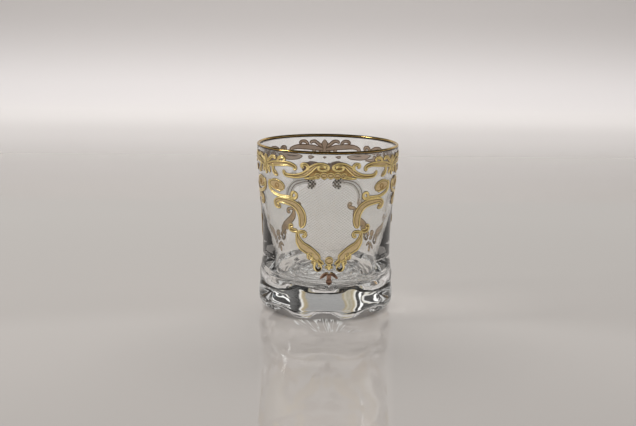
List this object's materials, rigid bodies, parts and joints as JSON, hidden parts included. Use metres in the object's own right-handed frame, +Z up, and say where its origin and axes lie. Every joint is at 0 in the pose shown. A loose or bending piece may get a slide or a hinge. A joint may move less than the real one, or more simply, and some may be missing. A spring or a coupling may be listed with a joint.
{
  "type": "whisky tumbler",
  "caption": "Heavy clear-glass whisky tumbler with a waisted wall, a lobed fluted foot, a gilt lip and raised gold rococo scrollwork panels round the wall.",
  "frame": {"origin": "middle of the plane the feet stand on, on the glass's axis", "axes": "+Z up along the glass's axis, the middle of the first gold panel faces -Y"},
  "size_m": [0.085, 0.0851, 0.1004],
  "materials": {
    "glass": "clear pressed glass, fire-polished",
    "gilding": "fired gold, raised, satin with a polished edge"
  },
  "bodies": {
    "root": {"glass_body": "glass", "rim_band": "gilding", "crest_1": "gilding", "palmette_1": "gilding", "upper_scroll_right_1": "gilding", "upper_scroll_left_1": "gilding", "lower_scroll_right_1": "gilding", "lower_scroll_left_1": "gilding", "finial_1": "gilding", "drop_1": "gilding", "crest_2": "gilding", "palmette_2": "gilding", "upper_scroll_right_2": "gilding", "upper_scroll_left_2": "gilding", "lower_scroll_right_2": "gilding", "lower_scroll_left_2": "gilding", "finial_2": "gilding", "drop_2": "gilding", "crest_3": "gilding", "palmette_3": "gilding", "upper_scroll_right_3": "gilding", "upper_scroll_left_3": "gilding", "lower_scroll_right_3": "gilding", "lower_scroll_left_3": "gilding", "finial_3": "gilding", "drop_3": "gilding"}
  },
  "joints": []
}
